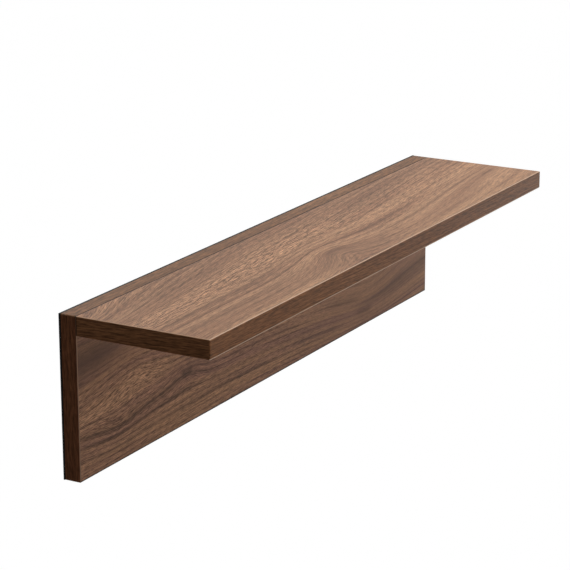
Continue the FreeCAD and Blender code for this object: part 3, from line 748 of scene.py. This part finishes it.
def zinc_plate(name, settings):
    """Bright zinc plate with a soft mottle and fine turning marks."""
    graph = Graph(name)
    places = graph.axes()
    mottle = graph.speckle(ZINC_MOTTLE, *places)
    marks = graph.speckle(TURNING_MARKS, *places)
    colour = graph.mix(mottle.fade(*ZINC_MOTTLE_RISE), settings.zinc_bright, settings.zinc_dull)
    return graph.finish(colour, PLATED_ZINC, mottle, marks)


def oiled_socket(name, settings):
    """The inside of a screw's socket: dull zinc under a broken painted shade, as the recess would look
    darker.
    """
    graph = Graph(name)
    shade_mottle = graph.speckle(SOCKET_SHADE_MOTTLE, *graph.axes())
    colour = graph.mix(shade_mottle.fade(*SOCKET_SHADE_RISE), settings.socket_shade, settings.zinc_dull)
    return graph.finish(colour, SHADED_SOCKET_ZINC, shade_mottle, shade_mottle)


DRAW_LINE_NOISE = Noise(detail=3.0, roughness=0.65)
DRAW_LINE_REPEATS = 3.0
DRAW_LINE_SHARE = 0.6
BROAD_DRAW_LINES = Speckle(repeats=(5.0, 160.0, 160.0), detail=2.0, roughness=0.5)
BROAD_DRAW_LINE_SHARE = 0.5
METAL_CLOUD = Speckle(repeats=(90.0, 140.0, 140.0), detail=3.0, roughness=0.6)
METAL_CLOUD_SHARE = 0.75
# The painted highlight along the edges, where a rounded edge would catch the light.
METAL_HIGHLIGHT_WIDTH = 0.0006
METAL_HIGHLIGHT_SHARE = 0.5
DRAWN_ALUMINIUM = Surface(roughness=0.32, spread=0.2, relief=0.00005, metallic=1.0)


def mill_aluminium(name, node_name, settings):
    """Aluminium as it leaves the press: draw lines along its length, and a painted highlight along its
    edges.
    """
    graph = Graph(name)
    x, y, z = graph.axes()
    lines_wide = 1 / settings.draw_line
    line_place = graph.vector(x * DRAW_LINE_REPEATS, y * lines_wide, z * lines_wide)
    fine = graph.noise(line_place, DRAW_LINE_NOISE)
    broad = graph.speckle(BROAD_DRAW_LINES, x, y, z)
    cloud = graph.speckle(METAL_CLOUD, x, y, z)
    edge_highlight = edge_highlight_mask(graph, node_name, METAL_HIGHLIGHT_WIDTH)
    brightness = fine * DRAW_LINE_SHARE + broad * BROAD_DRAW_LINE_SHARE
    colour = graph.mix(brightness, settings.aluminium_dull, settings.aluminium_bright)
    colour = graph.mix(edge_highlight * METAL_HIGHLIGHT_SHARE, colour, settings.aluminium_bright)
    return graph.finish(colour, DRAWN_ALUMINIUM, fine + cloud * METAL_CLOUD_SHARE, fine)


def dress(node_name, material):
    """Gives a piece its finish and leaves its mesh as it is."""
    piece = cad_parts[node_name]
    if not piece.material_slots:
        raise RuntimeError(f"{node_name} has no material slot")
    for slot in piece.material_slots:
        slot.link = "OBJECT"
        slot.material = material


def dress_walnut(node_name, settings, tones, grain, edges):
    """Gives a piece its own walnut."""
    dress(node_name, walnut(f"{node_name}_walnut", settings, tones, grain, edges))


def dress_band(node_name, settings, tones, edges, **directions):
    """Gives an edge band its own walnut, with the grain along its length."""
    grain = BAND_GRAIN._replace(seed=BAND_SEEDS[node_name], **directions)
    dress_walnut(node_name, settings, tones, grain, edges)


# Sizes of a screw in metres: head and shank are radii, flats is the socket's width, and the others are
# lengths along the screw.
Screw = collections.namedtuple("Screw", "head rim flare shank neck point flats socket")
Thread = collections.namedtuple("Thread", "pitch core")
# The sizes that the screws' solids have.
JOINT_SCREW = Screw(
    head=0.0050,
    rim=0.0009,
    flare=0.0015,
    shank=0.0035,
    neck=0.0145,
    point=0.0050,
    flats=0.0040,
    socket=0.0030,
)
CLIP_SCREW = Screw(
    head=0.0031,
    rim=0.00015,
    flare=0.00135,
    shank=0.00175,
    neck=0.0022,
    point=0.0025,
    flats=0.0020,
    socket=0.0012,
)
HEAD_BEVEL = 0.0001
STEPS_ROUND = 24
HEXAGON_SECTOR = math.tau / 6
# Which of a screw's finishes its socket has.
SOCKET_FINISH = 1
# The thread's ridge across one turn: how far along the pitch, and how high, as shares.
RIDGE_SHARES = ((0.0, 0.0), (0.16, 1.0), (0.24, 1.0), (0.40, 0.0))
# How much of a turn is left out at the point.
BLUNT_SHARE = 0.3
SHARP_ANGLE = math.radians(35)


def hexagon_radius(flats, step):
    """How far a socket's side is from its middle, a number of steps round from a corner."""
    turn = math.tau * step / STEPS_ROUND
    return flats / 2 / math.cos(turn % HEXAGON_SECTOR - HEXAGON_SECTOR / 2)


def add_screw(mesh, head_middle, length, screw, thread):
    """Adds a screw that points forward: hex socket, countersunk head, plain neck and thread."""
    thread_start = screw.neck + screw.shank - thread.core

    def point(depth, radius, step):
        turn = math.tau * step / STEPS_ROUND
        offset = Vector((radius * math.cos(turn), -depth, radius * math.sin(turn)))
        return mesh.verts.new(head_middle + offset)

    def thread_point(step, row):
        along_share, height_share = RIDGE_SHARES[row]
        turns = step / STEPS_ROUND
        depth = thread_start + thread.pitch * (turns + along_share)
        height = (screw.shank - thread.core) * height_share * min(1.0, turns)
        taper = min(1.0, (length - depth) / screw.point)
        return point(depth, (thread.core + height) * taper, step)

    def socket_ring(depth):
        return [point(depth, hexagon_radius(screw.flats, step), step) for step in range(STEPS_ROUND)]

    outline = (
        (0.0, screw.head - HEAD_BEVEL),
        (HEAD_BEVEL, screw.head),
        (screw.rim, screw.head),
        (screw.rim + screw.flare, screw.shank),
        (screw.neck, screw.shank),
        (thread_start, thread.core),
    )
    rings = [socket_ring(screw.socket), socket_ring(0.0)]
    rings += [[point(depth, radius, step) for step in range(STEPS_ROUND)] for depth, radius in outline]
    socket_floor = point(screw.socket, 0.0, 0)
    socket_faces = []
    for step in range(STEPS_ROUND):
        after = (step + 1) % STEPS_ROUND
        socket_faces.append(mesh.faces.new((socket_floor, rings[0][after], rings[0][step])))
        for upper, lower in zip(rings, rings[1:]):
            face = mesh.faces.new((upper[step], upper[after], lower[after], lower[step]))
            if upper is rings[0]:
                socket_faces.append(face)
    for face in socket_faces:
        face.material_index = SOCKET_FINISH

    # Each row of the thread is one helix. The row after the last is the first row, one turn further on.
    turns = (length - thread_start) / thread.pitch - 1 - BLUNT_SHARE
    last_step = int(turns * STEPS_ROUND)
    neck_end = rings[-1]
    first_row = [neck_end[0]]
    first_row += [thread_point(step, 0) for step in range(1, last_step + STEPS_ROUND + 1)]
    rows = [first_row]
    for row in range(1, len(RIDGE_SHARES)):
        rows.append([thread_point(step, row) for step in range(last_step + 1)])
    rows.append(first_row[STEPS_ROUND:])
    for upper, lower in zip(rows, rows[1:]):
        for step in range(last_step):
            mesh.faces.new((upper[step], upper[step + 1], lower[step + 1], lower[step]))

    # The first turn closes up to the neck, and the last one to the point.
    mesh.faces.new((neck_end[0], neck_end[1], first_row[1]))
    for step in range(1, STEPS_ROUND - 1):
        mesh.faces.new((neck_end[step], neck_end[step + 1], first_row[step + 1], first_row[step]))
    corner = first_row[STEPS_ROUND - 1]
    side = [neck_end[-1]] + [row[0] for row in rows]
    for upper, lower in zip(side, side[1:]):
        mesh.faces.new((upper, lower, corner))
    tip = point(length, 0.0, 0)
    rim = first_row[last_step:] + [row[last_step] for row in rows[-2:0:-1]]
    for vertex, following in zip(rim, rim[1:] + rim[:1]):
        mesh.faces.new((vertex, following, tip))


def row_places(node_name, gap):
    """Where along the shelf each piece of a row stands, from the runs of points in the row's solids."""
    runs = []
    for place in sorted(vertex.co.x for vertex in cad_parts[node_name].data.vertices):
        if not runs or place - runs[-1][-1] > gap:
            runs.append([place])
        runs[-1].append(place)
    return [(run[0] + run[-1]) / 2 for run in runs]


def make_screws(name, node_name, screw, thread, finishes):
    """A row of threaded screws that stand for the plain ones of the frame."""
    low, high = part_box(node_name)
    mesh = bmesh.new()
    for place in row_places(node_name, screw.head):
        head_middle = Vector((place, high.y, (low.z + high.z) / 2))
        add_screw(mesh, head_middle, high.y - low.y, screw, thread)
    bmesh.ops.recalc_face_normals(mesh, faces=mesh.faces)
    data = bpy.data.meshes.new(name)
    mesh.to_mesh(data)
    mesh.free()
    data.shade_smooth()
    data.set_sharp_from_angle(angle=SHARP_ANGLE)
    for finish in finishes:
        data.materials.append(finish)
    piece = bpy.data.objects.new(name, data)
    bpy.context.scene.collection.objects.link(piece)
    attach(piece, "shelf")
    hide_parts(node_name)


def veneer_tones(settings):
    """Colours of the shelf board's veneers."""
    return Tones(
        pale=settings.veneer_pale,
        brown=settings.veneer_brown,
        line=settings.veneer_line,
        pore=settings.veneer_pore,
        gold=settings.veneer_pale,
        gloss=settings.shelf_gloss,
    )


def panel_tones(settings):
    """Colours of the panel's veneer."""
    return Tones(
        pale=settings.panel_pale,
        brown=settings.panel_brown,
        line=settings.panel_line,
        pore=settings.veneer_pore,
        gold=settings.panel_gold,
        gloss=settings.panel_gloss,
    )


def band_tones(settings, gloss):
    """Colours of the edge bands."""
    return Tones(
        pale=settings.band_pale,
        brown=settings.band_brown,
        line=settings.band_line,
        pore=settings.band_pore,
        gold=settings.band_pale,
        gloss=gloss,
    )


def strip_tones(settings):
    """Colours of the panel's top band."""
    tones = band_tones(settings, settings.shelf_gloss)
    return tones._replace(pale=settings.strip_pale, brown=settings.strip_brown)


def shaded_end_tones(settings):
    """Colours of the bands on the panel's ends: a darker copy of the bands' colours, as painted shade on the
    ends.
    """
    tones = band_tones(settings, settings.end_gloss)
    return tones._replace(pale=settings.shaded_end_pale, brown=settings.shaded_end_brown, line=settings.shaded_end_line)


# How strongly the painted shade shows along a veneer's edge.
EDGE_SHADE_SHARE = 0.5


def seam_and_shade_line(settings):
    """The dark line where the shelf board meets the panel's front: a joint, darkened further as painted
    contact shade. On the panel's bottom band it lies along the front edge as painted shade.
    """
    panel_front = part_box("panel_front_veneer")[0].y
    return Edge(TOWARDS_FRONT, -panel_front, settings.dark_line_width, settings.seam, 1.0)


def glue_line(settings):
    """The black line where the panel's bands meet the backing sheet."""
    sheet_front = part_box("panel_rear_backer")[0].y
    return Edge(TOWARDS_FRONT, -sheet_front, settings.dark_line_width, settings.glue, 1.0)


def painted_edge_shade(settings, direction, place):
    """A painted shade line along a veneer's edge, on the side that turns from the light."""
    return Edge(direction, place, settings.dark_line_width, settings.seam, EDGE_SHADE_SHARE)


def painted_arris_highlight(settings, direction, place, highlight_share=1.0, widening=1.0):
    """A painted highlight along an edge, where a rounded arris would catch the light."""
    width = settings.arris_highlight_width * widening
    return Edge(direction, place, width, settings.arris_highlight, settings.arris_highlight_share * highlight_share)


class SHELF_OT_board_veneers(bpy.types.Operator):
    """Walnut veneer on the shelf board's top and underside"""

    bl_idname = "shelf.board_veneers"
    bl_label = "Shelf board veneers"

    def execute(self, context):
        settings = context.scene.shelf_walnut
        grains = {"shelf_top_veneer": TOP_GRAIN, "shelf_bottom_veneer": UNDERSIDE_GRAIN}
        # A dark joint line at the panel's front, partly painted shade.
        for node_name, grain in grains.items():
            dress_walnut(node_name, settings, veneer_tones(settings), grain, [seam_and_shade_line(settings)])
        return {"FINISHED"}


class SHELF_OT_panel_veneer(bpy.types.Operator):
    """Walnut veneer on the back panel's front"""

    bl_idname = "shelf.panel_veneer"
    bl_label = "Back panel veneer"

    def execute(self, context):
        settings = context.scene.shelf_walnut
        node_name = "panel_front_veneer"
        low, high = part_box(node_name)
        # Painted shade along the veneer's bottom and right edges.
        edges = [painted_edge_shade(settings, ALONG_Z, low.z), painted_edge_shade(settings, ALONG_X, high.x)]
        dress_walnut(node_name, settings, panel_tones(settings), PANEL_GRAIN, edges)
        return {"FINISHED"}


class SHELF_OT_long_bands(bpy.types.Operator):
    """Walnut bands along the front of the shelf board and along the panel's top and bottom"""

    bl_idname = "shelf.long_bands"
    bl_label = "Long edge bands"

    def execute(self, context):
        settings = context.scene.shelf_walnut
        tones = band_tones(settings, settings.panel_gloss)
        low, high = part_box("shelf_front_edge_band")
        # Painted highlights along the front band's top and bottom edges.
        arris_highlights = [
            painted_arris_highlight(settings, ALONG_Z, high.z),
            painted_arris_highlight(settings, ALONG_Z, low.z, highlight_share=1.3, widening=2.4),
        ]
        # Dark joint lines, partly painted shade, and the glue line at the backing sheet.
        dark_seams_and_shade = [seam_and_shade_line(settings), glue_line(settings)]
        dress_band("shelf_front_edge_band", settings, tones, arris_highlights)
        dress_band("panel_top_edge_band", settings, strip_tones(settings), dark_seams_and_shade)
        dress_band("panel_bottom_edge_band", settings, tones, dark_seams_and_shade)
        return {"FINISHED"}


class SHELF_OT_end_bands(bpy.types.Operator):
    """Walnut bands on the ends of the shelf board and of the panel, each with its grain along the band"""

    bl_idname = "shelf.end_bands"
    bl_label = "End bands"

    def execute(self, context):
        settings = context.scene.shelf_walnut
        shelf_tones, shaded_panel_end_tones = band_tones(settings, settings.end_gloss), shaded_end_tones(settings)
        shelf_directions = {"along": ALONG_Y, "across": ACROSS_SHELF_END}
        panel_directions = {"along": ALONG_Z, "across": ACROSS_PANEL_END}
        seam = seam_and_shade_line(settings)
        shelf_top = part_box("shelf_top_veneer")[1].z
        # Along the shelf's ends, a dark joint line, partly painted shade, and a painted highlight along the
        # top edge; along the panel's ends, the glue line and a painted highlight along the front edge.
        shelf_edges = [seam, painted_arris_highlight(settings, ALONG_Z, shelf_top, highlight_share=0.6)]
        front_arris_highlight = painted_arris_highlight(settings, seam.direction, seam.place, highlight_share=0.4)
        panel_edges = [glue_line(settings), front_arris_highlight]
        for side in ("left", "right"):
            shelf_band, panel_band = f"shelf_{side}_edge_band", f"panel_{side}_edge_band"
            dress_band(shelf_band, settings, shelf_tones, shelf_edges, **shelf_directions)
            dress_band(panel_band, settings, shaded_panel_end_tones, panel_edges, **panel_directions)
        return {"FINISHED"}


class SHELF_OT_cores(bpy.types.Operator):
    """Particle board of the two cores"""

    bl_idname = "shelf.cores"
    bl_label = "Board cores"

    def execute(self, context):
        material = particle_board("raw_particle_board", context.scene.shelf_fittings)
        for node_name in ("shelf_core", "panel_core"):
            dress(node_name, material)
        return {"FINISHED"}


class SHELF_OT_backing_sheet(bpy.types.Operator):
    """Black sheet on the panel's rear"""

    bl_idname = "shelf.backing_sheet"
    bl_label = "Backing sheet"

    def execute(self, context):
        node_name = "panel_rear_backer"
        dress(node_name, backing_sheet("black_backing_sheet", node_name, context.scene.shelf_fittings))
        return {"FINISHED"}


class SHELF_OT_dowels(bpy.types.Operator):
    """Beech dowels of the corner joint"""

    bl_idname = "shelf.dowels"
    bl_label = "Dowels"

    def execute(self, context):
        dress("joint_dowels", beech("raw_beech", context.scene.shelf_fittings))
        return {"FINISHED"}


class SHELF_OT_screws(bpy.types.Operator):
    """Zinc-plated screws of the corner joint and of the clips"""

    bl_idname = "shelf.screws"
    bl_label = "Screws"

    def execute(self, context):
        settings = context.scene.shelf_fittings
        finishes = (zinc_plate("bright_zinc_plate", settings), oiled_socket("oiled_socket", settings))
        joint_thread = Thread(settings.joint_pitch, settings.joint_core)
        clip_thread = Thread(settings.clip_pitch, settings.clip_core)
        make_screws("threaded_joint_screws", "joint_screws", JOINT_SCREW, joint_thread, finishes)
        make_screws("threaded_clip_screws", "hook_clip_screws", CLIP_SCREW, clip_thread, finishes)
        return {"FINISHED"}


class SHELF_OT_hanging_metal(bpy.types.Operator):
    """Aluminium wall rail and hook clips"""

    bl_idname = "shelf.hanging_metal"
    bl_label = "Wall rail and hook clips"

    def execute(self, context):
        settings = context.scene.shelf_fittings
        for node_name in ("wall_rail", "hook_clip_left", "hook_clip_middle", "hook_clip_right"):
            dress(node_name, mill_aluminium(f"{node_name}_aluminium", node_name, settings))
        return {"FINISHED"}


def make_camera(settings):
    """The camera at the photograph's view."""
    camera = bpy.data.objects.new("view_camera", bpy.data.cameras.new("view_camera"))
    camera.data.lens = settings.lens
    camera.location = settings.camera_place
    turn, rise = settings.camera_turn, settings.camera_rise
    back = Vector((math.sin(turn) * math.cos(rise), -math.cos(turn) * math.cos(rise), math.sin(rise)))
    camera.rotation_mode = "QUATERNION"
    level = (-back).to_track_quat("-Z", "Y")
    camera.rotation_quaternion = level @ Quaternion(ALONG_Z, settings.camera_roll)
    bpy.context.scene.collection.objects.link(camera)
    bpy.context.scene.camera = camera


# Where each lamp stands and shines, and how large it is: an angle for the sun, and a width for the others.
Lamp = collections.namedtuple("Lamp", "kind place target size")
MIDDLE = (0.0, 0.0, 0.0)
LAMPS = {
    "overhead": Lamp("SUN", place=(0.25, 0.10, 2.0), target=MIDDLE, size=math.radians(30)),
    "key": Lamp("AREA", place=(1.0, -0.1, 1.1), target=(0.2, -0.05, 0.0), size=0.6),
    "fill": Lamp("AREA", place=(-0.3, -2.0, -0.2), target=MIDDLE, size=0.9),
    "side": Lamp("AREA", place=(1.3, -0.56, -0.2), target=(0.2, -0.1, 0.0), size=0.35),
    "rear": Lamp("AREA", place=(0.5, 1.7, 0.1), target=MIDDLE, size=2.2),
}


def make_lamp(name, lamp, strength):
    """A lamp that shines from one place towards another."""
    data = bpy.data.lights.new(name, lamp.kind)
    data.energy = strength
    if lamp.kind == "SUN":
        data.angle = lamp.size
    else:
        data.shape = "DISK"
        data.size = lamp.size
    stand = bpy.data.objects.new(name, data)
    stand.location = lamp.place
    stand.rotation_mode = "QUATERNION"
    stand.rotation_quaternion = (Vector(lamp.target) - Vector(lamp.place)).to_track_quat("-Z", "Y")
    bpy.context.scene.collection.objects.link(stand)


def seen_directly(tree):
    """1 for rays from the camera, from a mirror or through glass, and 0 for rays that light a surface."""
    rays = tree.nodes.new("ShaderNodeLightPath")
    total = rays.outputs["Is Camera Ray"]
    for ray in ("Is Glossy Ray", "Is Transmission Ray"):
        node = tree.nodes.new("ShaderNodeMath")
        node.operation = "MAXIMUM"
        tree.links.new(total, node.inputs[0])
        tree.links.new(rays.outputs[ray], node.inputs[1])
        total = node.outputs["Value"]
    return total


def make_sky(strength):
    """White where it is seen, and an even, weaker light elsewhere."""
    world = bpy.data.worlds.new("white_studio")
    world.use_nodes = True
    tree = world.node_tree
    background = tree.nodes["Background"]
    background.inputs["Color"].default_value = (1.0, 1.0, 1.0, 1.0)
    level = tree.nodes.new("ShaderNodeMapRange")
    level.inputs["To Min"].default_value = strength
    level.inputs["To Max"].default_value = 1.0
    tree.links.new(seen_directly(tree), level.inputs["Value"])
    tree.links.new(level.outputs["Result"], background.inputs["Strength"])
    bpy.context.scene.world = world


FLOOR_GREY = 0.28
FLOOR_GLOW = 0.8


def make_floor(settings):
    """A plain pale floor that looks white where it is lit and keeps the shelf's shadow."""
    reach, height = settings.floor_reach, -settings.floor_drop
    mesh = bpy.data.meshes.new("studio_floor")
    signs = ((-1, -1), (1, -1), (1, 1), (-1, 1))
    corners = [(reach * sign_x, reach * sign_y, height) for sign_x, sign_y in signs]
    mesh.from_pydata(corners, [], [(0, 1, 2, 3)])
    material = bpy.data.materials.new("studio_floor")
    material.use_nodes = True
    tree = material.node_tree
    surface = tree.nodes["Principled BSDF"]
    surface.inputs["Base Color"].default_value = (FLOOR_GREY, FLOOR_GREY, FLOOR_GREY, 1.0)
    surface.inputs["Roughness"].default_value = 1.0
    surface.inputs["Specular IOR Level"].default_value = 0.0
    surface.inputs["Emission Color"].default_value = (1.0, 1.0, 1.0, 1.0)
    glow = tree.nodes.new("ShaderNodeMath")
    glow.operation = "MULTIPLY"
    glow.inputs[1].default_value = FLOOR_GLOW
    tree.links.new(seen_directly(tree), glow.inputs[0])
    tree.links.new(glow.outputs["Value"], surface.inputs["Emission Strength"])
    mesh.materials.append(material)
    floor = bpy.data.objects.new("studio_floor", mesh)
    bpy.context.scene.collection.objects.link(floor)


class SHELF_OT_stage(bpy.types.Operator):
    """Camera, lamps, sky and floor"""

    bl_idname = "shelf.stage"
    bl_label = "Studio stage"

    def execute(self, context):
        settings = context.scene.shelf_stage
        make_camera(settings)
        make_sky(settings.sky)
        make_floor(settings)
        for name, lamp in LAMPS.items():
            make_lamp(name, lamp, getattr(settings, name))
        context.scene.view_settings.view_transform = "Standard"
        return {"FINISHED"}


class SHELF_PT_sidebar(bpy.types.Panel):
    """The shelf's settings and steps"""

    bl_idname = "SHELF_PT_sidebar"
    bl_label = "Floating wall shelf"
    bl_space_type = "VIEW_3D"
    bl_region_type = "UI"
    bl_category = "Shelf"

    def draw(self, context):
        for group_name in SETTINGS:
            group = getattr(context.scene, group_name)
            box = self.layout.box()
            for setting in group.__annotations__:
                box.prop(group, setting)
        for operator in OPERATORS:
            self.layout.operator(operator.bl_idname)


SETTINGS = {
    "shelf_walnut": WalnutSettings,
    "shelf_fittings": FittingSettings,
    "shelf_stage": StageSettings,
}
OPERATORS = (
    SHELF_OT_board_veneers,
    SHELF_OT_panel_veneer,
    SHELF_OT_long_bands,
    SHELF_OT_end_bands,
    SHELF_OT_cores,
    SHELF_OT_backing_sheet,
    SHELF_OT_dowels,
    SHELF_OT_screws,
    SHELF_OT_hanging_metal,
    SHELF_OT_stage,
)
CLASSES = (*SETTINGS.values(), *OPERATORS, SHELF_PT_sidebar)


def register():
    for registered in CLASSES:
        bpy.utils.register_class(registered)
    for name, group in SETTINGS.items():
        setattr(bpy.types.Scene, name, bpy.props.PointerProperty(type=group))


def unregister():
    for name in SETTINGS:
        delattr(bpy.types.Scene, name)
    for registered in reversed(CLASSES):
        bpy.utils.unregister_class(registered)


def main():
    register()
    bpy.ops.shelf.board_veneers()
    bpy.ops.shelf.panel_veneer()
    bpy.ops.shelf.long_bands()
    bpy.ops.shelf.end_bands()
    bpy.ops.shelf.cores()
    bpy.ops.shelf.backing_sheet()
    bpy.ops.shelf.dowels()
    bpy.ops.shelf.screws()
    bpy.ops.shelf.hanging_metal()
    bpy.ops.shelf.stage()


if __name__ == "__main__":
    main()
